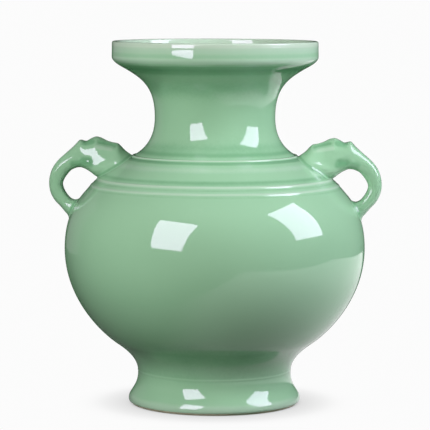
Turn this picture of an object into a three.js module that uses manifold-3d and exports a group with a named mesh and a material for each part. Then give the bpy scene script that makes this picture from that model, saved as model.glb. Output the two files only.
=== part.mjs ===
// A glazed porcelain vase: dish mouth, waisted neck, ringed shoulder, round belly, flared foot and
// two elephant-head handles. Each mesh is one clay piece as the potter makes it, before the pieces
// are luted together with slip, glazed and fired.
// Millimetres, +Z up, origin at the centre of the foot's standing face. The handles lie along X.

import * as THREE from "three";
import { mergeVertices } from "three/addons/utils/BufferGeometryUtils.js";
import Module from "manifold-3d";

const wasm = await Module();
wasm.setup();

// ---- driving dimensions ------------------------------------------------------------------

const HEIGHT = 300;
const WALL = 5; // thrown wall, glaze included
const FLOOR_TOP = 33; // inside of the vase, above the foot
const TURNS = 40; // facets round the axis

// Radius and height of the places that the outside curve passes through.
const FOOT_FACE = { r: 69.2, z: 0 };
const FOOT_EDGE = { r: 71.3, z: 4 };
const FOOT_WAIST = { r: 63.5, z: 26 };
const BELLY_HOLLOW = { r: 82, z: 51.3 }; // where the lower curve turns from hollow to round
const BELLY_WIDEST = { r: 124.2, z: 129 };
const SHOULDER_START = { r: 103.8, z: 180 };
const SHOULDER_END = { r: 68.4, z: 205.2 };
const NECK_START = { r: 64.4, z: 207.5 };
const NECK_WAIST = { r: 49.7, z: 237.5 };
const DISH_START = { r: 71.8, z: 276 };
const DISH_CORNER = { r: 80.5, z: 281 };
const DISH_WIDEST = { r: 85.1, z: 287.5 };
const LIP = { r: 84.2, z: 298.2 };
const LIP_TOP = { r: 82.4, z: HEIGHT };

const FOOT_RING_TOP = 2; // the wiped, bare standing rim
const FOOT_RING_INNER = 63.2;
const FOOT_RECESS = 56; // radius of the hollow under the foot

// Raised string lines: where each one's middle is, how wide it is and how far it stands proud.
const STRING_LINES = [
  { r: 102.9, z: 181.9, width: 4.2, proud: 1.0 },
  { r: 98.9, z: 186.9, width: 4.6, proud: 1.3 },
  { r: 68.6, z: 205.1, width: 4.0, proud: 1.4 },
];

const GLAZE = 0x94be9c;
const BARE_CLAY = 0xb99c86;

// ---- the outside and inside curves -------------------------------------------------------

const at = (p) => new THREE.Vector2(p.r, p.z);
const slopeOf = (dr, dz) => new THREE.Vector2(dr, dz).normalize();

// A cubic curve from a to b that leaves and arrives along the given directions.
function curve(a, leave, leaveBy, b, arrive, arriveBy, steps) {
  const start = at(a);
  const end = at(b);
  const bezier = new THREE.CubicBezierCurve(
    start,
    start.clone().addScaledVector(leave, leaveBy),
    end.clone().addScaledVector(arrive, -arriveBy),
    end,
  );
  return bezier.getPoints(steps);
}

const UP = slopeOf(0, 1);
const HOLLOW_SLOPE = slopeOf(1.46, 1);
const SHOULDER_SLOPE = slopeOf(-0.78, 1);
const DOME_END_SLOPE = slopeOf(-1.85, 1);
const NECK_FOOT_SLOPE = slopeOf(-1.5, 1);
const DISH_SLOPE = slopeOf(1.62, 1);

const outside = [
  at(FOOT_FACE),
  ...curve(FOOT_EDGE, UP, 3.5, FOOT_WAIST, UP, 11.8, 5),
  ...curve(FOOT_WAIST, UP, 9.7, BELLY_HOLLOW, HOLLOW_SLOPE, 13.7, 5).slice(1),
  ...curve(BELLY_HOLLOW, HOLLOW_SLOPE, 17, BELLY_WIDEST, UP, 40, 7).slice(1),
  ...curve(BELLY_WIDEST, UP, 32, SHOULDER_START, SHOULDER_SLOPE, 10, 6).slice(1),
  ...curve(SHOULDER_START, SHOULDER_SLOPE, 12, SHOULDER_END, DOME_END_SLOPE, 10, 4).slice(1),
  ...curve(NECK_START, NECK_FOOT_SLOPE, 14, NECK_WAIST, UP, 11, 5),
  ...curve(NECK_WAIST, UP, 24, DISH_START, DISH_SLOPE, 14, 5).slice(1),
  at(DISH_CORNER),
  new THREE.Vector2(84.1, 284.2),
  at(DISH_WIDEST),
  at(LIP),
  new THREE.Vector2(83.6, 299.5),
  at(LIP_TOP),
];

// A curve moved sideways by a distance: inwards, or outwards when it is negative.
function offset(points, by) {
  return points.map((p, i) => {
    const before = points[Math.max(i - 1, 0)];
    const after = points[Math.min(i + 1, points.length - 1)];
    const along = after.clone().sub(before).normalize();
    return new THREE.Vector2(p.x - along.y * by, p.y + along.x * by);
  });
}

// The points of a curve that lie between the floor and the lip, each higher than the one before.
function rising(points) {
  const kept = points.filter((p) => p.y > FLOOR_TOP && p.y < DISH_WIDEST.z);
  return kept.filter((p, i) => i === 0 || p.y > kept[i - 1].y + 0.5);
}

const INSIDE_LIP = [
  new THREE.Vector2(DISH_WIDEST.r - WALL, DISH_WIDEST.z + 1.5),
  new THREE.Vector2(LIP.r - 4.4, LIP.z - 1),
  new THREE.Vector2(LIP_TOP.r - 1.6, HEIGHT),
];

const inside = [...rising(offset(outside, WALL)), ...INSIDE_LIP];

// Radius of a rising curve at a height.
function radiusAt(points, z) {
  const i = points.findIndex((p) => p.y >= z);
  if (i <= 0) return points[Math.max(i, 0)].x;
  const low = points[i - 1];
  const high = points[i];
  return low.x + ((z - low.y) / (high.y - low.y)) * (high.x - low.x);
}

// The stretch of a rising curve between two heights, its two ends included.
function between(points, z0, z1) {
  const middle = points.filter((p) => p.y > z0 + 0.4 && p.y < z1 - 0.4);
  return [
    new THREE.Vector2(radiusAt(points, z0), z0),
    ...middle,
    new THREE.Vector2(radiusAt(points, z1), z1),
  ];
}

// A rounded ridge on the outside curve, as three points that stand proud of it.
function ridge({ r, z, width, proud }, slope) {
  const out = new THREE.Vector2(slope.y, -slope.x);
  const middle = new THREE.Vector2(r, z);
  const spot = (along, lift) =>
    middle.clone().addScaledVector(slope, along * width).addScaledVector(out, lift * proud);
  return [spot(-0.5, 0), spot(-0.28, 0.85), spot(0, 1), spot(0.28, 0.85), spot(0.5, 0)];
}

// ---- turned pieces -----------------------------------------------------------------------

const root = new THREE.Group();

function add(name, geometry, colour, parent = root) {
  const roughness = colour === GLAZE ? 0.08 : 0.85;
  const material = new THREE.MeshStandardMaterial({ color: colour, roughness, metalness: 0 });
  const mesh = new THREE.Mesh(geometry, material);
  mesh.name = name;
  parent.add(mesh);
  return mesh;
}

// A closed outline of radius and height, turned round the Z axis.
function turned(outline) {
  const open = outline[0].x > 0.001 || outline[outline.length - 1].x > 0.001;
  const points = open ? [...outline, outline[0].clone()] : outline;
  return new THREE.LatheGeometry(points, TURNS).rotateX(Math.PI / 2);
}

// A length of the vase's wall between two heights.
function wall(z0, z1) {
  return turned([...between(outside, z0, z1), ...between(inside, z0, z1).reverse()]);
}

function footRing() {
  const top = radiusAt(outside, FOOT_RING_TOP);
  return turned([
    at(FOOT_FACE),
    new THREE.Vector2(top, FOOT_RING_TOP),
    new THREE.Vector2(FOOT_RING_INNER - 1.2, FOOT_RING_TOP),
    new THREE.Vector2(FOOT_RING_INNER, 0),
  ]);
}

function foot() {
  return turned([
    ...between(outside, FOOT_RING_TOP, FOOT_WAIST.z),
    new THREE.Vector2(FOOT_RECESS, FOOT_WAIST.z),
    new THREE.Vector2(FOOT_RECESS, 17),
    new THREE.Vector2(FOOT_RECESS + 2, 9),
    new THREE.Vector2(FOOT_RING_INNER - 1.2, FOOT_RING_TOP),
  ]);
}

// A bowl: its floor closes the vase over the foot.
function lowerBelly() {
  const inner = between(inside, FLOOR_TOP + 7, BELLY_WIDEST.z);
  return turned([
    new THREE.Vector2(0, FOOT_WAIST.z),
    ...between(outside, FOOT_WAIST.z, BELLY_WIDEST.z),
    ...inner.reverse(),
    new THREE.Vector2(55, FLOOR_TOP + 1.5),
    new THREE.Vector2(42, FLOOR_TOP),
    new THREE.Vector2(0, FLOOR_TOP),
  ]);
}

// The dome's outside, from the pair of string lines to the one at the neck.
function domeOutside() {
  const [lower, upper, neckLine] = STRING_LINES;
  return [
    new THREE.Vector2(radiusAt(outside, SHOULDER_START.z), SHOULDER_START.z),
    ...ridge(lower, SHOULDER_SLOPE).slice(1),
    ...ridge(upper, slopeOf(-1, 1)),
    ...between(outside, 190, 202.6),
    ...ridge(neckLine, DOME_END_SLOPE).slice(1, 4),
    at(NECK_START),
  ];
}

function shoulder() {
  const inner = between(inside, SHOULDER_START.z, NECK_START.z);
  return turned([...domeOutside(), ...inner.reverse()]);
}

add("foot_ring", footRing(), BARE_CLAY);
add("foot", foot(), GLAZE);
add("lower_belly", lowerBelly(), GLAZE);
add("upper_belly", wall(BELLY_WIDEST.z, SHOULDER_START.z), GLAZE);
add("shoulder", shoulder(), GLAZE);
add("neck", wall(NECK_START.z, DISH_START.z), GLAZE);
add("mouth_dish", wall(DISH_START.z, HEIGHT), GLAZE);

// ---- handles -----------------------------------------------------------------------------

const LUTING_GAP = 0.3; // slip between a handle and the body, and between head and trunk
const RIBS = 12; // points round a handle's section

// Sections of a handle along its length: its top or outer point, its bottom or inner point (x is
// the distance from the vase's axis) and half its width.
const SECTIONS = [
  { top: [66, 204], bottom: [66, 192], half: 22 },
  { top: [80.6, 214.6], bottom: [80, 188], half: 21.5 },
  { top: [89.8, 217.4], bottom: [88, 186], half: 19 },
  { top: [98.6, 220.4], bottom: [97, 186], half: 15 },
  { top: [106, 217.9], bottom: [104.5, 192.5], half: 11.5 },
  { top: [111.5, 217.8], bottom: [111, 195.3], half: 10 },
  { top: [117.5, 212.4], bottom: [115.5, 194.6], half: 8.8 },
  { top: [125.5, 205.4], bottom: [119.2, 192.9], half: 8 },
  { top: [132.2, 198.6], bottom: [123, 189.4], half: 7.5 },
  { top: [136.6, 190], bottom: [125.6, 185.4], half: 7.2 },
  { top: [137.8, 181.6], bottom: [126.5, 181], half: 7.1 },
  { top: [136.8, 174.4], bottom: [125.5, 176.8], half: 7.2 },
  { top: [133.6, 168], bottom: [122.9, 172.6], half: 7.4 },
  { top: [128.4, 162.6], bottom: [119.4, 169.2], half: 7.8 },
  { top: [122.6, 156.4], bottom: [114, 167], half: 8.6 },
  { top: [112, 148], bottom: [106, 164], half: 9.5 },
];
const HEAD_END = 6; // the section where the trunk is luted to the head

// One section as a ring of points: an oval standing on the line from bottom to top.
function sectionRing({ top, bottom, half }, shift = 0) {
  const high = new THREE.Vector3(top[0], 0, top[1]);
  const low = new THREE.Vector3(bottom[0], 0, bottom[1]);
  const centre = high.clone().add(low).multiplyScalar(0.5);
  const tall = high.sub(low).multiplyScalar(0.5);
  const along = new THREE.Vector3(tall.z, 0, -tall.x).normalize().multiplyScalar(shift);
  const points = [];
  for (let i = 0; i < RIBS; i++) {
    const angle = (2 * Math.PI * i) / RIBS;
    const point = centre.clone().add(along).addScaledVector(tall, Math.cos(angle));
    point.y += half * Math.sin(angle);
    points.push(point);
  }
  return points;
}

// A closed skin over a row of rings.
function skin(rings) {
  const centreOf = (ring) =>
    ring.reduce((sum, p) => sum.add(p), new THREE.Vector3()).divideScalar(ring.length);
  const points = [...rings.flat(), centreOf(rings[0]), centreOf(rings[rings.length - 1])];
  const faces = [];
  const lastRing = (rings.length - 1) * RIBS;
  const firstCap = rings.length * RIBS;
  for (let i = 0; i < RIBS; i++) {
    const next = (i + 1) % RIBS;
    for (let start = 0; start < lastRing; start += RIBS) {
      const [a, b] = [start + i, start + next];
      faces.push(a, b + RIBS, b, a, a + RIBS, b + RIBS);
    }
    faces.push(firstCap, i, next);
    faces.push(firstCap + 1, lastRing + next, lastRing + i);
  }
  const geometry = new THREE.BufferGeometry().setFromPoints(points);
  geometry.setIndex(faces);
  return geometry;
}

function solid(geometry) {
  const bare = geometry.clone();
  bare.deleteAttribute("normal");
  bare.deleteAttribute("uv");
  const merged = mergeVertices(bare, 1e-3);
  const mesh = new wasm.Mesh({
    numProp: 3,
    vertProperties: merged.attributes.position.array,
    triVerts: new Uint32Array(merged.index.array),
  });
  return new wasm.Manifold(mesh);
}

function geometryOf(manifold) {
  const { vertProperties, triVerts } = manifold.getMesh();
  const geometry = new THREE.BufferGeometry();
  geometry.setAttribute("position", new THREE.BufferAttribute(vertProperties, 3));
  geometry.setIndex(new THREE.BufferAttribute(triVerts, 1));
  return geometry;
}

// What a handle must stay clear of: the body, filled and one luting gap larger.
function bodyWithGap() {
  const outline = [
    ...between(outside, 100, SHOULDER_START.z),
    ...domeOutside().slice(1, -1),
    ...between(outside, NECK_START.z, 240),
  ];
  const grown = offset(outline, -LUTING_GAP);
  const low = grown[0].y;
  const high = grown[grown.length - 1].y;
  return solid(turned([new THREE.Vector2(0, low), ...grown, new THREE.Vector2(0, high)]));
}

const clearOfBody = bodyWithGap();

function handlePart(sections, shift) {
  const rings = sections.map((section, i) => sectionRing(section, i === 0 ? shift : 0));
  return geometryOf(solid(skin(rings)).subtract(clearOfBody));
}

const head = handlePart(SECTIONS.slice(0, HEAD_END + 1), 0);
const trunk = handlePart(SECTIONS.slice(HEAD_END), LUTING_GAP);

for (const [side, turn] of [
  ["right", 0],
  ["left", Math.PI],
]) {
  const handle = new THREE.Group();
  handle.rotation.z = turn;
  root.add(handle);
  add(`${side}_handle_head`, head, GLAZE, handle);
  add(`${side}_handle_trunk`, trunk, GLAZE, handle);
}

export default root;
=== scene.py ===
"""A celadon vase: the finished skin of each clay piece, its glaze, and a studio to see it in.

Metres, +Z up. The vase stands at the origin with its handles along X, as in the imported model.
Outlines are written in millimetres, as a potter's drawing is, and scaled when a mesh is made.
"""

import math

import bmesh
import bpy
from mathutils import Matrix, Vector
from mathutils.geometry import interpolate_bezier


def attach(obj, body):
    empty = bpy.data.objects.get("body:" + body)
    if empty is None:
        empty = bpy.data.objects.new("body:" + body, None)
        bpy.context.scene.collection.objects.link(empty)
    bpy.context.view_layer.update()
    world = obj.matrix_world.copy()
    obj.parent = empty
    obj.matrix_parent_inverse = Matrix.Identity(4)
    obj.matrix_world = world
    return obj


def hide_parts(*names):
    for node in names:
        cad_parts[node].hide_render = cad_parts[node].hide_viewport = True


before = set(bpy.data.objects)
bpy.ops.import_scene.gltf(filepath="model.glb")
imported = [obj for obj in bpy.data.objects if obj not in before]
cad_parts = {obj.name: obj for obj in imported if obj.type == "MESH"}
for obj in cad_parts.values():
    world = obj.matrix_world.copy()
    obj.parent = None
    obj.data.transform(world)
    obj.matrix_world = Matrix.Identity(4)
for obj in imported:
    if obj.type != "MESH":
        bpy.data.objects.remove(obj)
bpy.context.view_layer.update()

MM = 0.001

# ---- the thrown body's drawing: radius, height -------------------------------------------------

WALL = 5.0
FLOOR_TOP = 33.0
LIP_ROUND = 1.6
LIP_THICK = 4.4
INSIDE_START = FLOOR_TOP + 7  # where the inside wall rises out of the rounded corner of the floor
TURNS = 160
FINE = 0.4  # spacing of points where there are string lines
PLAIN = 1.0  # spacing of points everywhere else
INNER_STEP = 1.0  # the least rise from one point of the inside wall to the next
SAME_POINT = 0.02
HAIR = 0.12  # a hair-thin face beside each joint keeps the gloss running straight across it

# Which way the outline heads at the places named: outwards, upwards.
UP = (0, 1)
HOLLOW = (1.46, 1)
SHOULDER = (-0.78, 1)
DOME_END = (-1.85, 1)
NECK_FOOT = (-1.5, 1)
DISH = (1.62, 1)

FOOT_FACE = (69.2, 0)
FOOT_EDGE = (71.3, 4)
FOOT_WAIST = (63.5, 26)
BELLY_HOLLOW = (82, 51.3)
BELLY_WIDEST = (124.2, 129)
SHOULDER_START = (103.8, 180)
SHOULDER_END = (68.4, 205.2)
NECK_START = (64.4, 207.5)
NECK_WAIST = (49.7, 237.5)
DISH_START = (71.8, 276)
DISH_WIDEST = (85.1, 287.2)
RIM_SWELL = [(85.0, 294.8), (85.0, 295.1), (85.012, 295.5), (85.03, 295.9), (85.035, 296.2)]
LIP = (84.97, 298.4)
FOOT_RECESS = 56.0
FOOT_RING_INNER = 63.2
FOOT_RING_TOP = 2.0

# Raised lines: height, width, how proud, and how deep the glaze-filled groove beside each one is.
STRING_LINES = [
    (27.4, 2.6, 0.16, 0.0),
    (181.6, 3.2, 0.22, 0.06),
    (187.0, 4.4, 0.42, 0.08),
    (205.6, 3.2, 0.65, 0.15),
]
GROOVE_AWAY = 0.5  # from the edge of a raised line to the middle of the groove beside it
GROOVE_SPREAD = 0.9


def curve(start, leave, leave_by, end, arrive, arrive_by, step=PLAIN):
    """Points about a step apart on a cubic curve that leaves and arrives in the given ways."""
    first, last = Vector(start), Vector(end)
    one = first + Vector(leave).normalized() * leave_by
    two = last - Vector(arrive).normalized() * arrive_by
    count = max(5, round((last - first).length / step) + 1)
    return [Vector(p) for p in interpolate_bezier(first, one, two, last, count)]


def joined(*stretches):
    """One outline from stretches that follow on, each shared point kept once."""
    points = list(stretches[0])
    for stretch in stretches[1:]:
        points += [p for p in stretch if (p - points[-1]).length > SAME_POINT]
    return points


OUTSIDE = joined(
    curve(FOOT_FACE, (0.9, 1), 1.8, FOOT_EDGE, UP, 1.8, FINE),
    curve(FOOT_EDGE, UP, 5.8, FOOT_WAIST, UP, 13.2, FINE),
    curve(FOOT_WAIST, UP, 9.7, BELLY_HOLLOW, HOLLOW, 13.7, 0.6),
    curve(BELLY_HOLLOW, HOLLOW, 17, BELLY_WIDEST, UP, 40),
    curve(BELLY_WIDEST, UP, 32, SHOULDER_START, SHOULDER, 10),
    curve(SHOULDER_START, SHOULDER, 12, SHOULDER_END, DOME_END, 10, FINE),
    curve(SHOULDER_END, DOME_END, 1.5, NECK_START, NECK_FOOT, 1.5, FINE),
    curve(NECK_START, NECK_FOOT, 14, NECK_WAIST, UP, 11),
    curve(NECK_WAIST, UP, 24, DISH_START, DISH, 14),
    curve(DISH_START, DISH, 5, DISH_WIDEST, UP, 4.8, 0.6),
    curve(DISH_WIDEST, UP, 4, RIM_SWELL[0], (-0.01, 1), 2, 0.7),
    [Vector(p) for p in RIM_SWELL],
    curve(RIM_SWELL[-1], (-0.01, 1), 0.5, LIP, UP, 1, 0.4),
)


def outward(points, i):
    """Which way is out of the wall at a point of an outline that climbs the outside."""
    along = (points[min(i + 1, len(points) - 1)] - points[max(i - 1, 0)]).normalized()
    return Vector((along.y, -along.x))


def arc_lengths(points):
    """How far along an outline each of its points is."""
    lengths = [0.0]
    for a, b in zip(points, points[1:]):
        lengths.append(lengths[-1] + (b - a).length)
    return lengths


def with_string_lines(points):
    """The outline with its raised lines and the grooves beside them."""
    lengths = arc_lengths(points)
    shaped = []
    for i, p in enumerate(points):
        lift = 0.0
        for height, width, proud, groove in STRING_LINES:
            middle = min(range(len(points)), key=lambda k: abs(points[k].y - height))
            away = abs(lengths[i] - lengths[middle])
            if away < width / 2:
                lift += proud * math.cos(math.pi * away / width) ** 2
            lift -= groove * math.exp(-(((away - width / 2 - GROOVE_AWAY) / GROOVE_SPREAD) ** 2))
        shaped.append(p + outward(points, i) * lift)
    return shaped


RELIEF_REACH = 3.2
NEIGHBOURS = 24  # how many points to each side are averaged


def relief_along(points):
    """How far each point stands proud of the outline around it: a line is over 0, a groove under."""
    lengths = arc_lengths(points)
    relief = []
    for i, p in enumerate(points):
        total = Vector((0, 0))
        weight = 0.0
        for j in range(max(i - NEIGHBOURS, 0), min(i + NEIGHBOURS + 1, len(points))):
            share = math.exp(-(((lengths[j] - lengths[i]) / RELIEF_REACH) ** 2))
            span = lengths[min(j + 1, len(points) - 1)] - lengths[max(j - 1, 0)]
            total += points[j] * share * span
            weight += share * span
        relief.append((p - total / weight).dot(outward(points, i)))
    return relief


# Where the glaze lies thin (over 0) or thick (under 0) by itself: height, spread, how much. Some bands paint
# light and shade into the colour instead: painted shade under the dish (278.6 and 263.0) and low on the
# belly (54.0), and painted light on the flare of the foot (19.0). The band at 214.5 darkens the neck low
# down.
GLAZE_RUN_AND_PAINTED_LIGHT = [
    (299.8, 3.0, 0.54), (294.6, 3.6, 0.44), (283.8, 1.3, 0.10), (278.6, 3.8, -0.56), (263.0, 8.0, -0.14),
    (214.5, 4.0, -0.12), (209.6, 1.7, -0.22), (205.8, 1.1, 0.22), (203.5, 1.1, -0.34), (199.0, 2.4, 0.20),
    (190.2, 1.6, -0.28), (186.7, 1.6, 0.26), (184.4, 0.8, -0.18), (182.1, 1.2, 0.26), (179.3, 0.9, -0.08),
    (54.0, 12.0, -0.18), (19.0, 5.0, 0.18),
]


def glaze_run_and_painted_light(z):
    """How thin the glaze has run at a height, on top of what the relief does, with the painted shade and
    painted light of some bands.
    """
    return sum(much * math.exp(-(((z - height) / spread) ** 2)) for height, spread, much in GLAZE_RUN_AND_PAINTED_LIGHT)


def offset(points, by):
    """The outline moved into the wall by a thickness."""
    return [p - outward(points, i) * by for i, p in enumerate(points)]


def rising(points, low, high):
    """The points between two heights, each clearly above the one before."""
    kept = []
    for p in points:
        if low < p.y < high and (not kept or p.y > kept[-1].y + INNER_STEP):
            kept.append(p)
    return kept


LIP_STEPS = 8  # steps in each quarter of a round


def lip_arc():
    """The rounded lip, from the outside of the rim over its top to the inside."""
    points = []
    for inner in (False, True):
        across = LIP[0] - (LIP_THICK - LIP_ROUND if inner else LIP_ROUND)
        for i in range(LIP_STEPS + 1):
            angle = math.pi * (i / (2 * LIP_STEPS) + (0.5 if inner else 0))
            out = across + math.cos(angle) * LIP_ROUND
            height = LIP[1] + math.sin(angle) * LIP_ROUND
            points.append(Vector((out, height)))
    return points


OUTER = with_string_lines(OUTSIDE)
OVER = joined(OUTER, lip_arc())
RELIEF = relief_along(OVER)
INNER = rising(offset(OUTSIDE, WALL), INSIDE_START, DISH_WIDEST[1])
INNER += [Vector((DISH_WIDEST[0] - WALL, DISH_WIDEST[1] + 2)), Vector((LIP[0] - LIP_THICK, LIP[1]))]


def at_height(points, z):
    """The point of a climbing outline at a height."""
    for low, high in zip(points, points[1:]):
        if low.y <= z <= high.y and high.y > low.y:
            return low.lerp(high, (z - low.y) / (high.y - low.y))
    return points[0] if z < points[0].y else points[-1]


def between(points, z0, z1):
    """The stretch of an outline between two heights, with a hair-thin step at each end."""
    middle = [p for p in points if z0 + 2 * HAIR < p.y < z1 - 2 * HAIR]
    ends = [at_height(points, z) for z in (z0, z0 + HAIR, z1 - HAIR, z1)]
    return ends[:2] + middle + ends[2:]


# ---- making meshes -----------------------------------------------------------------------------


def as_object(bm, name, material, slot):
    """Turns a finished bmesh into a piece that rides on the vase and stands for a CAD node."""
    mesh = bpy.data.meshes.new(name)
    bm.to_mesh(mesh)
    bm.free()
    mesh.materials.append(material)
    for polygon in mesh.polygons:
        polygon.use_smooth = True
    piece = bpy.data.objects.new(name + "_glazed" if slot == "celadon_glaze" else name + "_bare", mesh)
    bpy.context.scene.collection.objects.link(piece)
    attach(piece, "root")
    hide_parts(name)
    return piece


ON_THE_OUTSIDE = 0.5  # a point this near the outer outline belongs to it
INSIDE_RIM = 290  # over this height the glaze on the inside is thin
INSIDE_RIM_RELIEF = 0.35


def relief_of(point):
    """The relief of the outline's nearest point, or none on the inside and on cut faces."""
    best = min(range(len(OVER)), key=lambda i: (OVER[i] - point).length_squared)
    if (OVER[best] - point).length < ON_THE_OUTSIDE:
        # the glaze run bands add painted shade under the dish and low on the belly, and painted light on the
        # foot
        return RELIEF[best] + glaze_run_and_painted_light(OVER[best].y)
    return INSIDE_RIM_RELIEF if point.y > INSIDE_RIM else 0.0


CUT_CORNER = math.radians(50)
HANDLE_CORNER = math.radians(60)


def sharpen(bm, limit):
    """Keeps the corners of cut faces crisp while everything else is shaded smooth."""
    for edge in bm.edges:
        if len(edge.link_faces) == 2 and edge.calc_face_angle(0) > limit:
            edge.smooth = False


DOUBLES = 1e-6  # metres


def turned(name, outline, material, slot="celadon_glaze"):
    """A closed outline spun once round the axis."""
    bm = bmesh.new()
    layer = bm.verts.layers.float.new("relief")
    verts = []
    for p in outline:
        vert = bm.verts.new((p.x * MM, 0, p.y * MM))
        vert[layer] = relief_of(p)
        verts.append(vert)
    edges = [bm.edges.new(pair) for pair in zip(verts, verts[1:])]
    starts_off_axis = outline[0].x > 0
    if starts_off_axis:
        edges.append(bm.edges.new((verts[-1], verts[0])))
    bmesh.ops.spin(
        bm,
        geom=verts + edges,
        cent=(0, 0, 0),
        axis=(0, 0, 1),
        angle=2 * math.pi,
        steps=TURNS,
        use_merge=True,
    )
    bmesh.ops.remove_doubles(bm, verts=bm.verts[:], dist=DOUBLES)
    bmesh.ops.recalc_face_normals(bm, faces=bm.faces[:])
    sharpen(bm, CUT_CORNER)
    return as_object(bm, name, material, slot)


# ---- materials ---------------------------------------------------------------------------------


class Wiring:
    """A short way to add a node with its settings and to link it."""

    def __init__(self, name):
        self.material = bpy.data.materials.new(name)
        self.material.use_nodes = True
        self.tree = self.material.node_tree
        self.tree.nodes.clear()

    def node(self, kind, inputs=None, **settings):
        made = self.tree.nodes.new(kind)
        for key, value in settings.items():
            setattr(made, key, value)
        for key, value in (inputs or {}).items():
            if isinstance(value, bpy.types.NodeSocket):
                self.tree.links.new(value, made.inputs[key])
            else:
                made.inputs[key].default_value = value
        return made

    def ramp(self, factor, stops):
        made = self.node("ShaderNodeValToRGB", {"Fac": factor})
        made.color_ramp.interpolation = "EASE"
        elements = made.color_ramp.elements
        while len(elements) < len(stops):
            elements.new(0.5)
        for element, (place, colour) in zip(elements, stops):
            element.position = place
            element.color = (*colour, 1)
        return made.outputs["Color"]


def celadon():
    """Glossy green glaze: pale where it runs thin over a ridge, deep green where it pools, plus the painted
    shade and painted light carried in the relief attribute.
    """
    w = Wiring("celadon_glaze")
    place = w.node("ShaderNodeTexCoord").outputs["Object"]
    relief = w.node("ShaderNodeAttribute", attribute_name="relief").outputs["Fac"]
    # glaze depth, with painted shade under the dish, low on the belly and over the handles' loops, and
    # painted light on the foot
    depth_and_painted_shade = w.node("ShaderNodeMapRange", {"Value": relief, "From Min": -1.0, "From Max": 1.0}).outputs[0]
    cloud = w.node("ShaderNodeTexNoise", {"Vector": place, "Scale": 28.0, "Detail": 3.0}).outputs["Fac"]
    fleck = w.node("ShaderNodeTexNoise", {"Vector": place, "Scale": 420.0, "Detail": 2.0}).outputs["Fac"]
    drift = w.node("ShaderNodeMath", {0: cloud, 1: -0.5}, operation="ADD").outputs[0]
    drift = w.node("ShaderNodeMath", {0: drift, 1: 0.10, 2: depth_and_painted_shade}, operation="MULTIPLY_ADD").outputs[0]
    speck = w.node("ShaderNodeMath", {0: fleck, 1: -0.5}, operation="ADD").outputs[0]
    shade = w.node("ShaderNodeMath", {0: speck, 1: 0.04, 2: drift}, operation="MULTIPLY_ADD").outputs[0]
    stops = [
        (0.10, (0.10, 0.29, 0.14)),
        (0.33, (0.19, 0.41, 0.235)),
        (0.48, (0.310, 0.540, 0.350)),
        (0.52, (0.315, 0.545, 0.355)),
        (0.66, (0.405, 0.600, 0.445)),
        (0.90, (0.53, 0.66, 0.54)),
    ]
    colour = w.ramp(shade, stops)
    ripple = w.node("ShaderNodeTexNoise", {"Vector": place, "Scale": 90.0, "Detail": 1.0}).outputs["Fac"]
    bump = w.node("ShaderNodeBump", {"Height": ripple, "Strength": 0.05, "Distance": 0.0002})
    rough = w.node("ShaderNodeMapRange", {"Value": fleck, "To Min": 0.025, "To Max": 0.05}).outputs[0]
    shader = w.node(
        "ShaderNodeBsdfPrincipled",
        {"Base Color": colour, "Roughness": rough, "IOR": 1.5, "Normal": bump.outputs[0]},
    )
    w.node("ShaderNodeOutputMaterial", {"Surface": shader.outputs[0]})
    return w.material


def bare_clay():
    """The wiped standing rim: matt, sandy and toasted orange-brown by the kiln."""
    w = Wiring("bare_clay")
    place = w.node("ShaderNodeTexCoord").outputs["Object"]
    grain = w.node("ShaderNodeTexNoise", {"Vector": place, "Scale": 900.0, "Detail": 6.0}).outputs["Fac"]
    toast = w.node("ShaderNodeTexNoise", {"Vector": place, "Scale": 40.0, "Detail": 3.0}).outputs["Fac"]
    both = w.node("ShaderNodeMath", {0: grain, 1: 0.4, 2: toast}, operation="MULTIPLY_ADD").outputs[0]
    stops = [(0.4, (0.56, 0.38, 0.27)), (0.7, (0.74, 0.58, 0.46)), (0.95, (0.80, 0.70, 0.60))]
    colour = w.ramp(both, stops)
    bump = w.node("ShaderNodeBump", {"Height": grain, "Strength": 0.4, "Distance": 0.0003})
    rough = w.node("ShaderNodeMapRange", {"Value": grain, "To Min": 0.7, "To Max": 0.95}).outputs[0]
    shader = w.node(
        "ShaderNodeBsdfPrincipled", {"Base Color": colour, "Roughness": rough, "Normal": bump.outputs[0]}
    )
    w.node("ShaderNodeOutputMaterial", {"Surface": shader.outputs[0]})
    return w.material


GLAZE = celadon()
CLAY = bare_clay()

# ---- turned pieces -----------------------------------------------------------------------------


def wall(name, z0, z1):
    """A plain stretch of the wall between two heights."""
    inner = [at_height(INNER, z0)] + [p for p in INNER if z0 + 1 < p.y < z1 - 1] + [at_height(INNER, z1)]
    return turned(name, between(OUTER, z0, z1) + inner[::-1], GLAZE)


def foot_ring():
    """The bare standing rim."""
    top = at_height(OUTER, FOOT_RING_TOP)
    inset = 0.5  # the glaze stops short in a soft roll above the wiped rim
    outline = [
        Vector((FOOT_FACE[0] - 0.9, 0)),
        Vector((FOOT_FACE[0] - 0.3, 0.25)),
        Vector((FOOT_FACE[0] + 0.1, 0.8)),
        Vector((top.x - inset, 1.5)),
        Vector((top.x - inset, FOOT_RING_TOP)),
        Vector((FOOT_RING_INNER - 1.2, FOOT_RING_TOP)),
        Vector((FOOT_RING_INNER - 0.2, 0.5)),
        Vector((FOOT_RING_INNER + 0.4, 0)),
    ]
    return turned("foot_ring", outline, CLAY, "bare_clay")


def foot():
    """The flared foot, with the open hollow under it."""
    outline = between(OUTER, FOOT_RING_TOP, FOOT_WAIST[1]) + [
        Vector((FOOT_RECESS, FOOT_WAIST[1])),
        Vector((FOOT_RECESS, 17)),
        Vector((FOOT_RECESS + 0.6, 12)),
        Vector((FOOT_RECESS + 2, 8)),
        Vector((FOOT_RING_INNER - 2.6, 3.2)),
        Vector((FOOT_RING_INNER - 1.2, FOOT_RING_TOP)),
    ]
    return turned("foot", outline, GLAZE)


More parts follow.
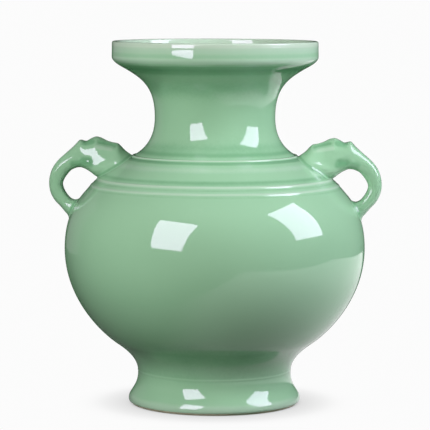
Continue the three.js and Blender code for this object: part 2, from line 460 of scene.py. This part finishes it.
def lower_belly():
    """The bowl of the belly, with the floor of the vase."""
    inner = [p for p in INNER if INSIDE_START < p.y < BELLY_WIDEST[1] - 1]
    inner.append(at_height(INNER, BELLY_WIDEST[1]))
    floor = [Vector(p) for p in ((57.5, 36.8), (53, 34.4), (46, 33.2), (38, FLOOR_TOP), (0, FLOOR_TOP))]
    base = [Vector((0, FOOT_WAIST[1]))]
    outer = between(OUTER, FOOT_WAIST[1], BELLY_WIDEST[1])
    return turned("lower_belly", base + outer + inner[::-1] + floor, GLAZE)


def mouth_dish():
    """The dish-shaped mouth with its upright rim and rounded lip."""
    outer = between(OUTER, DISH_START[1], LIP[1])
    inner = [at_height(INNER, DISH_START[1])]
    inner += [p for p in INNER if DISH_START[1] + 1 < p.y < LIP[1] - SAME_POINT]
    return turned("mouth_dish", joined(outer, lip_arc(), inner[::-1]), GLAZE)


foot_ring()
foot()
lower_belly()
wall("upper_belly", BELLY_WIDEST[1], SHOULDER_START[1])
wall("shoulder", SHOULDER_START[1], NECK_START[1])
wall("neck", NECK_START[1], DISH_START[1])
mouth_dish()

# ---- handles -----------------------------------------------------------------------------------

RIBS = 176  # points round a handle
DENSE = 240  # points on half a section before it is spaced out anew
RINGS_PER_STATION = 6
RINGS_AT_ROOT = 14
ROOT = 19  # the station past which the trunk runs down to the belly
FILLET = 3.6  # how far the slip runs out where a handle meets the body
UNDER_FILLET = 1.3  # the same under the head, where it closes on the shoulder
BURIED = 0.15  # the slip's edge goes under the body's skin by this much
DEEPEST = 3.4  # how far into the wall a handle's end reaches, so none of it shows inside the vase
SQUARED_TOP = 0.6  # how much of a section's squareness goes into flattening its top and bottom

# Sections along a handle: its top or outer point and its bottom or inner point (distance from the
# vase's axis, height), half its width, how square it is (0 is an oval), and how much narrower it
# gets upwards.
STATIONS = [
    ((62.0, 199.0), (62.0, 186.0), 21.0, 0.10, 0.30),
    ((69.5, 205.6), (69.0, 186.0), 22.0, 0.10, 0.32),
    ((74.6, 209.4), (74.0, 186.0), 22.0, 0.10, 0.36),
    ((78.8, 213.8), (78.0, 186.0), 21.2, 0.12, 0.42),
    ((81.2, 215.4), (80.6, 186.0), 20.4, 0.14, 0.48),
    ((85.5, 216.2), (85.0, 186.0), 18.6, 0.16, 0.51),
    ((90.0, 217.7), (89.5, 186.0), 16.8, 0.18, 0.49),
    ((94.5, 219.9), (94.0, 186.5), 15.4, 0.22, 0.42),
    ((98.6, 220.7), (98.2, 188.0), 14.5, 0.26, 0.34),
    ((102.4, 219.4), (102.0, 190.9), 13.8, 0.32, 0.26),
    ((106.8, 217.1), (105.6, 193.3), 12.9, 0.38, 0.20),
    ((111.8, 217.9), (110.2, 195.2), 11.2, 0.42, 0.18),
    ((114.6, 215.4), (113.2, 195.2), 10.3, 0.42, 0.16),
    ((117.5, 212.4), (115.5, 194.6), 9.4, 0.40, 0.13),
    ((124.3, 206.4), (119.2, 192.8), 8.3, 0.32, 0.08),
    ((129.8, 201.4), (121.8, 190.2), 7.7, 0.34, 0.02),
    ((134.2, 195.6), (124.2, 187.0), 7.3, 0.34, 0.00),
    ((136.9, 188.8), (125.8, 184.0), 7.1, 0.34, 0.00),
    ((137.7, 181.6), (126.5, 181.0), 7.0, 0.34, 0.00),
    ((136.6, 174.6), (125.4, 177.0), 7.1, 0.34, 0.00),
    ((133.2, 168.0), (122.9, 172.8), 7.3, 0.32, 0.00),
    ((128.0, 162.4), (119.4, 169.2), 7.8, 0.28, 0.00),
    ((122.0, 155.6), (113.5, 167.2), 8.8, 0.22, 0.00),
    ((112.0, 148.0), (106.0, 164.0), 10.0, 0.15, 0.00),
]
SPLIT = 13  # the station where the trunk is luted to the head


def smooth_between(values, i, t):
    """A value part of the way from station i to the next, on a smooth curve through them all."""
    last = len(values) - 1
    a, b, c, d = (values[min(max(k, 0), last)] for k in (i - 1, i, i + 1, i + 2))
    return 0.5 * (2 * b + (c - a) * t + (2 * a - 5 * b + 4 * c - d) * t * t + (3 * b - a - 3 * c + d) * t**3)


STATION_TOPS = [Vector(station[0]) for station in STATIONS]
STATION_BOTTOMS = [Vector(station[1]) for station in STATIONS]
STATION_SHAPES = [[station[k] for station in STATIONS] for k in (2, 3, 4)]


def section_at(i, t):
    """The five values of a section part of the way from station i to the next."""
    return [smooth_between(v, i, t) for v in (STATION_TOPS, STATION_BOTTOMS, *STATION_SHAPES)]


def half_section(top, bottom, half, square, taper):
    """Points round one side of a section, from its top to its bottom."""
    centre = (top + bottom) / 2
    tall = (top - bottom) / 2
    points = []
    for i in range(DENSE + 1):
        angle = math.pi * i / DENSE
        up, side = math.cos(angle), abs(math.sin(angle))
        up_full = math.copysign(abs(up) ** (1 - square * SQUARED_TOP), up)
        spot = centre + tall * up_full
        points.append(Vector((spot.x, half * side ** (1 - square) * (1 - taper * up), spot.y)))
    return points


def from_line(p, a, b):
    """How far a spot (distance out, height) is from a line."""
    a, b = Vector(a), Vector(b)
    along = min(max((p - a).dot(b - a) / (b - a).length_squared, 0), 1)
    return (p - a.lerp(b, along)).length


TOOLED_RELIEF = 0.32  # relief for each millimetre that the tool raised the clay
CREST_FADE = 5.0  # strokes fade out over this much of the way to the crest

# Modelling on both sides of the head: (from, to, how wide, how proud). Under 0 is a hollow.
TOOLING = [
    ((82.5, 213.2), (95.0, 216.2), 1.6, -0.9),  # the opening of the ear
    ((82.0, 210.2), (98.0, 212.6), 2.4, 0.7),  # the ear's lower fold
    ((102.6, 217.4), (106.6, 216.6), 2.0, -0.5),  # the dip behind the brow
    ((103.4, 201.7), (108.0, 201.7), 2.6, -0.9),  # the hollow under the cheek
    ((99.0, 193.0), (77.0, 203.6), 2.6, 0.6),  # the jaw
]

# Where the glaze has only gathered (under 0) or drawn thin (over 0), in the same way, with a painted shade
# under the head over the loop.
GATHERED_AND_PAINTED_SHADE = [
    # painted shade under the head, over the loop
    ((102.0, 199.4), (117.0, 198.6), 2.6, -0.30),  # over the loop
    ((105.0, 206.6), (98.0, 205.6), 1.2, 0.14),  # the edge of the cheek
    ((86.0, 211.6), (97.0, 213.4), 2.2, 0.22),  # the ear's fold
    ((100.5, 216.6), (107.5, 215.6), 2.2, -0.24),  # behind the brow
]


def strokes(spot, lines):
    """What a list of strokes adds up to at a spot."""
    total = 0
    for start, end, wide, much in lines:
        total += much * math.exp(-((from_line(spot, start, end) / wide) ** 2))
    return total


def tooled(p):
    """A point of the head after the modelling tool has been over it, and the relief it has there."""
    spot = Vector((p.x, p.z))
    side = min(abs(p.y) / CREST_FADE, 1.0)
    lift = strokes(spot, TOOLING) * side
    return Vector((p.x, p.y + lift, p.z)), lift * TOOLED_RELIEF + strokes(spot, GATHERED_AND_PAINTED_SHADE) * side


# The plain body at close, even heights, to tell quickly how far a point of a handle is from it.
LOW, HIGH, LEVELS = 130.0, 236.0, 424
BODY = [at_height(OUTSIDE, LOW + (HIGH - LOW) * i / LEVELS) for i in range(LEVELS + 1)]
BODY_OUT = [outward(BODY, i) for i in range(LEVELS + 1)]


def body_level(z):
    """The level of the plain body nearest to a height."""
    return round(min(max((z - LOW) / (HIGH - LOW), 0), 1) * LEVELS)


def height_over_body(p):
    """How far a point is outside the plain body, in millimetres, and which way is straight out."""
    out = math.hypot(p.x, p.y)
    z = p.z
    for _ in range(3):
        level = body_level(z)
        normal = BODY_OUT[level]
        away = (Vector((out, p.z)) - BODY[level]).dot(normal)
        z = p.z - away * normal.y
    return away, Vector((p.x / out * normal.x, p.y / out * normal.x, normal.y))


TOO_FLAT = 0.05  # where a handle's skin lies along the body, the slip has no way to run


def filleted(p, facing, reach):
    """Runs the slip out over the body: a point close to the body moves sideways along it."""
    away, straight = height_over_body(p)
    gap = away + BURIED
    if gap > reach:
        return p, away
    sideways = facing - straight * facing.dot(straight)
    if sideways.length < TOO_FLAT:
        return p, away
    spread = reach - math.sqrt(max(reach**2 - (reach - max(gap, 0.0)) ** 2, 0.0))
    return p + sideways.normalized() * spread, away


def kept_in_wall(p):
    """Brings a point of a handle's buried end back into the thickness of the wall."""
    away, straight = height_over_body(p)
    return p + straight * max(-DEEPEST - away, 0.0)


CLOSE_TO_BODY = 1.6
SPREAD_AT_CREST = 7  # this near the middle of a handle the points thin out to even spacing


def spaced_anew(points, heights):
    """The same line with its points closer together where it meets the body."""
    total = [0.0]
    for i in range(1, len(points)):
        near = math.exp(-((height_over_body(points[i])[0] / CLOSE_TO_BODY) ** 2))
        near *= min(abs(points[i].y) / SPREAD_AT_CREST, 1)
        total.append(total[-1] + (points[i] - points[i - 1]).length * (1 + near))
    spots, values = [], []
    i = 0
    for k in range(RIBS // 2 + 1):
        want = total[-1] * k / (RIBS // 2)
        while i < len(total) - 2 and total[i + 1] < want:
            i += 1
        t = min(max((want - total[i]) / (total[i + 1] - total[i]), 0), 1)
        spots.append(points[i].lerp(points[i + 1], t))
        values.append(heights[i] + (heights[i + 1] - heights[i]) * t)
    return spots, values


JOINT_HAIR = 0.015  # in stations
LAST_PLACE = len(STATIONS) - 1.001


def handle_places():
    """Where along a handle its rings go. The joint's ring has one a hair away on each side."""
    places = []
    for i in range(len(STATIONS) - 1):
        count = RINGS_AT_ROOT if i >= ROOT else RINGS_PER_STATION
        places += [i + k / count for k in range(count)]
    places += [SPLIT - JOINT_HAIR, SPLIT + JOINT_HAIR, LAST_PLACE]
    return sorted(places)


POOL_AWAY, POOL_SPREAD, POOL_DEPTH = 1.3, 1.0, 0.3  # glaze pooled a little off the body
CREST_THIN, CREST_SPREAD = 0.5, 0.06  # glaze drawn thin along the crest
SIDE_THICK = 0.09  # and slightly thicker everywhere else


def glaze_on_handle(lift, along, away):
    """The relief at a point of a handle, from its place between crest and underside and off the body."""
    pooled = math.exp(-(((away - POOL_AWAY) / POOL_SPREAD) ** 2))
    edge = CREST_THIN * math.exp(-((along / CREST_SPREAD) ** 2)) - SIDE_THICK
    return (lift + edge) * (1 - pooled) - POOL_DEPTH * pooled


def handle():
    """The finished skin of one handle, as rings of points and the relief at each."""
    places = handle_places()
    halves = []
    for place in places:
        i = min(int(place), len(STATIONS) - 2)
        halves.append([tooled(p) for p in half_section(*section_at(i, place - i))])
    rings, relief = [], []
    for i, half in enumerate(halves):
        before, after = halves[max(i - 1, 0)], halves[min(i + 1, len(halves) - 1)]
        points, heights = [], []
        for j, (p, lift) in enumerate(half):
            across = half[min(j + 1, DENSE)][0] - half[max(j - 1, 0)][0]
            if j in (0, DENSE):
                across = Vector((0, 1 if j == 0 else -1, 0))
            facing = (after[j][0] - before[j][0]).cross(across).normalized()
            reach = FILLET if places[i] > SPLIT else UNDER_FILLET + (FILLET - UNDER_FILLET) * abs(facing.y)
            moved, away = filleted(p, facing, reach)
            points.append(moved)
            heights.append(glaze_on_handle(lift, j / DENSE, away))
        points, heights = spaced_anew(points, heights)
        points = [kept_in_wall(p) for p in points]
        for end in (0, -1):
            points[end].y = 0
        other = [Vector((p.x, -p.y, p.z)) for p in points[-2:0:-1]]
        rings.append(points + other)
        relief.append(heights + heights[-2:0:-1])
    return places, rings, relief


def lofted(name, rings, relief, side):
    """A closed skin: a circle is extruded from ring to ring and both ends are filled."""
    bm = bmesh.new()
    layer = bm.verts.layers.float.new("relief")
    row = bmesh.ops.create_circle(bm, segments=RIBS, radius=1)["verts"]
    for i, (ring, heights) in enumerate(zip(rings, relief)):
        if i:
            edges = [bm.edges.get((row[j - 1], row[j])) for j in range(RIBS)]
            grown = bmesh.ops.extrude_edge_only(bm, edges=edges)["geom"]
            fresh = {v for v in grown if isinstance(v, bmesh.types.BMVert)}
            row = [
                next(e.other_vert(v) for e in v.link_edges if e.other_vert(v) in fresh) for v in row
            ]
        for vert, p, height in zip(row, ring, heights):
            vert.co = Vector((p.x * side, p.y * side, p.z)) * MM
            vert[layer] = height
    bmesh.ops.holes_fill(bm, edges=[e for e in bm.edges if e.is_boundary], sides=0)
    bmesh.ops.recalc_face_normals(bm, faces=bm.faces[:])
    sharpen(bm, HANDLE_CORNER)
    return as_object(bm, name, GLAZE, "celadon_glaze")


PLACES, RINGS, HEIGHTS = handle()
SPLIT_RING = PLACES.index(SPLIT)
HEAD_END = SPLIT_RING + 1
for label, direction in (("right", 1), ("left", -1)):
    lofted(f"{label}_handle_head", RINGS[:HEAD_END], HEIGHTS[:HEAD_END], direction)
    lofted(f"{label}_handle_trunk", RINGS[SPLIT_RING:], HEIGHTS[SPLIT_RING:], direction)

# ---- studio ------------------------------------------------------------------------------------

TURN = math.radians(3.5)  # the vase is seen from a little to the right of square on
ROLL = math.radians(0.15)


def round_axis(point):
    """A place given in millimetres square on to the camera, turned to where the camera stands."""
    return Matrix.Rotation(TURN, 3, "Z") @ Vector(point) * MM


def soft_box(name, corners, radiance, shine=None):
    """A rectangular light: radiance is what it sheds on the clay, shine is what the gloss shows.

    Without a shine, the gloss doesn't show it.
    """
    a, b, c, d = (Vector(p) for p in corners)
    centre, across, up = (a + b + c + d) / 4, (b - a + c - d) / 2, (a - d + b - c) / 2
    x_axis = across.normalized()
    z_axis = across.cross(up).normalized()
    if z_axis.dot(centre) < 0:
        x_axis, z_axis = -x_axis, -z_axis
    axes = Matrix((x_axis, z_axis.cross(x_axis), z_axis)).transposed()
    data = bpy.data.lights.new(name, "AREA")
    data.shape = "RECTANGLE"
    data.size = across.length * MM
    data.size_y = up.length * MM
    data.color = [part / max(radiance) for part in radiance]
    data.energy = max(radiance) * math.pi * data.size * data.size_y
    light = bpy.data.objects.new(name, data)
    bpy.context.scene.collection.objects.link(light)
    turned_axes = (Matrix.Rotation(TURN, 3, "Z") @ axes).to_4x4()
    light.matrix_world = Matrix.Translation(round_axis(centre)) @ turned_axes
    light.visible_camera = False
    light.visible_glossy = False
    if shine:
        flat_card(name + "_shine", corners, glowing(name + "_shine", shine))


def flat_card(name, corners, material, in_gloss=True):
    """A glowing card that is only seen in the gloss of the glaze, or only lights the clay."""
    bm = bmesh.new()
    bm.faces.new([bm.verts.new(round_axis(p)) for p in corners])
    mesh = bpy.data.meshes.new(name)
    bm.to_mesh(mesh)
    bm.free()
    mesh.materials.append(material)
    card = bpy.data.objects.new(name, mesh)
    bpy.context.scene.collection.objects.link(card)
    card.visible_camera = False
    card.visible_diffuse = not in_gloss
    card.visible_glossy = in_gloss
    card.visible_shadow = False


def glowing(name, radiance):
    """A plain emission of three radiances, which may be over 1."""
    w = Wiring(name)
    share = [part / max(radiance) for part in radiance]
    light = w.node("ShaderNodeEmission", {"Color": (*share, 1), "Strength": max(radiance)})
    w.node("ShaderNodeOutputMaterial", {"Surface": light.outputs[0]})
    return w.material


LEFT_BOX = [(-596, -502, 839), (-196, -787, 798), (-495, -1125, 249), (-895, -841, 291)]
RIGHT_BOX = [(425, -326, 769), (525, 45, 769), (873, -50, 326), (772, -420, 327)]
BACK_BOX = [(400, 1500, 900), (-400, 1500, 900), (-400, 1500, 300), (400, 1500, 300)]
soft_box("left_soft_box", LEFT_BOX, radiance=(8.6, 8.3, 8.3), shine=(10.7, 8.9, 12.0))
soft_box("right_soft_box", RIGHT_BOX, radiance=(8.8, 8.7, 9.4), shine=(9.3, 8.4, 11.2))
soft_box("back_fill", BACK_BOX, radiance=(3.0, 3.0, 3.0))


def table_shine():
    """The table as the gloss shows it: bright on the right, darkened on the left by a painted shadow of the
    vase.
    """
    w = Wiring("table_shine")
    place = w.node("ShaderNodeTexCoord").outputs["Object"]
    across = w.node("ShaderNodeSeparateXYZ", {0: place}).outputs["X"]
    share = w.node("ShaderNodeMapRange", {"Value": across, "From Min": -0.5, "From Max": 1.0}).outputs[0]
    # the low levels on the left are a painted shadow of the vase
    levels = [(0.12, 0.03), (0.28, 0.12), (0.34, 0.75), (0.47, 1.0), (0.62, 1.4), (1.0, 1.4)]
    grey = w.ramp(share, [(spot, (level, level, level)) for spot, level in levels])
    light = w.node("ShaderNodeEmission", {"Color": grey, "Strength": 1.0})
    w.node("ShaderNodeOutputMaterial", {"Surface": light.outputs[0]})
    return w.material


FLOOR_REACH = 200.0  # metres, so its edge is never in view


def floor():
    """A wide pale floor. Only the camera sees it, so it doesn't light the underside of the vase. Its glow is
    dimmed by ambient occlusion near the vase, a painted contact shadow.
    """
    bm = bmesh.new()
    bmesh.ops.create_grid(bm, x_segments=1, y_segments=1, size=FLOOR_REACH)
    mesh = bpy.data.meshes.new("floor")
    bm.to_mesh(mesh)
    bm.free()
    w = Wiring("pale_floor")
    painted_contact_shadow = w.node("ShaderNodeAmbientOcclusion", {"Distance": 0.05}, samples=16).outputs["AO"]
    grey = w.node("ShaderNodeMapRange", {"Value": painted_contact_shadow, "To Min": 0.45, "To Max": 0.97})
    lit = w.node("ShaderNodeEmission", {"Color": (1, 1, 1, 1), "Strength": grey.outputs[0]})
    w.node("ShaderNodeOutputMaterial", {"Surface": lit.outputs[0]})
    mesh.materials.append(w.material)
    ground = bpy.data.objects.new("floor", mesh)
    bpy.context.scene.collection.objects.link(ground)
    ground.visible_diffuse = False
    ground.visible_glossy = False
    ground.visible_shadow = False


floor()
UNDER_FLOOR = -1  # the cards of the table lie a little under the floor
TABLE_TOP = [
    (-120, -125), (215, -600), (1170, 130), (600, 1100), (60, 110),
    (-70, 90), (-700, 900), (-1400, 480), (-380, 80),
]
flat_card("table_top", [(x, y, UNDER_FLOOR) for x, y in TABLE_TOP], table_shine())
BOUNCE = [(80, -450), (900, -150), (900, 700), (150, 400)]
BOUNCE_GREY = glowing("bounce_grey", (0.45, 0.45, 0.45))
flat_card("table_bounce", [(x, y, UNDER_FLOOR) for x, y in BOUNCE], BOUNCE_GREY, in_gloss=False)
CURTAIN = [(-620, 315, 55), (-400, 690, 55), (-400, 690, 500), (-620, 315, 500)]
flat_card("curtain", CURTAIN, glowing("curtain_grey", (0.25, 0.25, 0.25)))


def room():
    """Dim and greenish to the vase, darker from below; the camera sees it near white."""
    world = bpy.data.worlds.new("room")
    bpy.context.scene.world = world
    world.use_nodes = True
    tree = world.node_tree
    tree.nodes.clear()
    seen = tree.nodes.new("ShaderNodeBackground")
    seen.inputs["Color"].default_value = (0.97, 0.97, 0.97, 1)
    dim = tree.nodes.new("ShaderNodeBackground")
    way = tree.nodes.new("ShaderNodeTexCoord")
    axes = tree.nodes.new("ShaderNodeSeparateXYZ")
    rise = tree.nodes.new("ShaderNodeMapRange")
    rise.inputs["From Min"].default_value = -0.3
    rise.inputs["From Max"].default_value = 0.5
    blend = tree.nodes.new("ShaderNodeValToRGB")
    blend.color_ramp.elements[0].color = (0.040, 0.095, 0.046, 1)
    blend.color_ramp.elements[1].color = (0.050, 0.062, 0.052, 1)
    path = tree.nodes.new("ShaderNodeLightPath")
    mix = tree.nodes.new("ShaderNodeMixShader")
    end = tree.nodes.new("ShaderNodeOutputWorld")
    for source, target in (
        (way.outputs["Generated"], axes.inputs[0]),
        (axes.outputs["Z"], rise.inputs["Value"]),
        (rise.outputs[0], blend.inputs["Fac"]),
        (blend.outputs["Color"], dim.inputs["Color"]),
        (path.outputs["Is Camera Ray"], mix.inputs[0]),
        (dim.outputs[0], mix.inputs[1]),
        (seen.outputs[0], mix.inputs[2]),
        (mix.outputs[0], end.inputs[0]),
    ):
        tree.links.new(source, target)


room()

# ---- camera ------------------------------------------------------------------------------------

CAMERA_PLACE = (0.2, -2000, 350)
CAMERA_DOWN = math.radians(5.5347)
SENSOR = 36
LENS = 203.096


def camera():
    """Looks at the vase from in front and a little above."""
    data = bpy.data.cameras.new("camera")
    data.sensor_width = SENSOR
    data.lens = LENS
    data.dof.use_dof = False
    eye = bpy.data.objects.new("camera", data)
    bpy.context.scene.collection.objects.link(eye)
    level = Matrix.Rotation(TURN, 4, "Z") @ Matrix.Rotation(math.pi / 2 - CAMERA_DOWN, 4, "X")
    aim = level @ Matrix.Rotation(ROLL, 4, "Z")
    eye.matrix_world = Matrix.Translation(round_axis(CAMERA_PLACE)) @ aim
    bpy.context.scene.camera = eye


camera()
bpy.context.scene.view_settings.view_transform = "Standard"
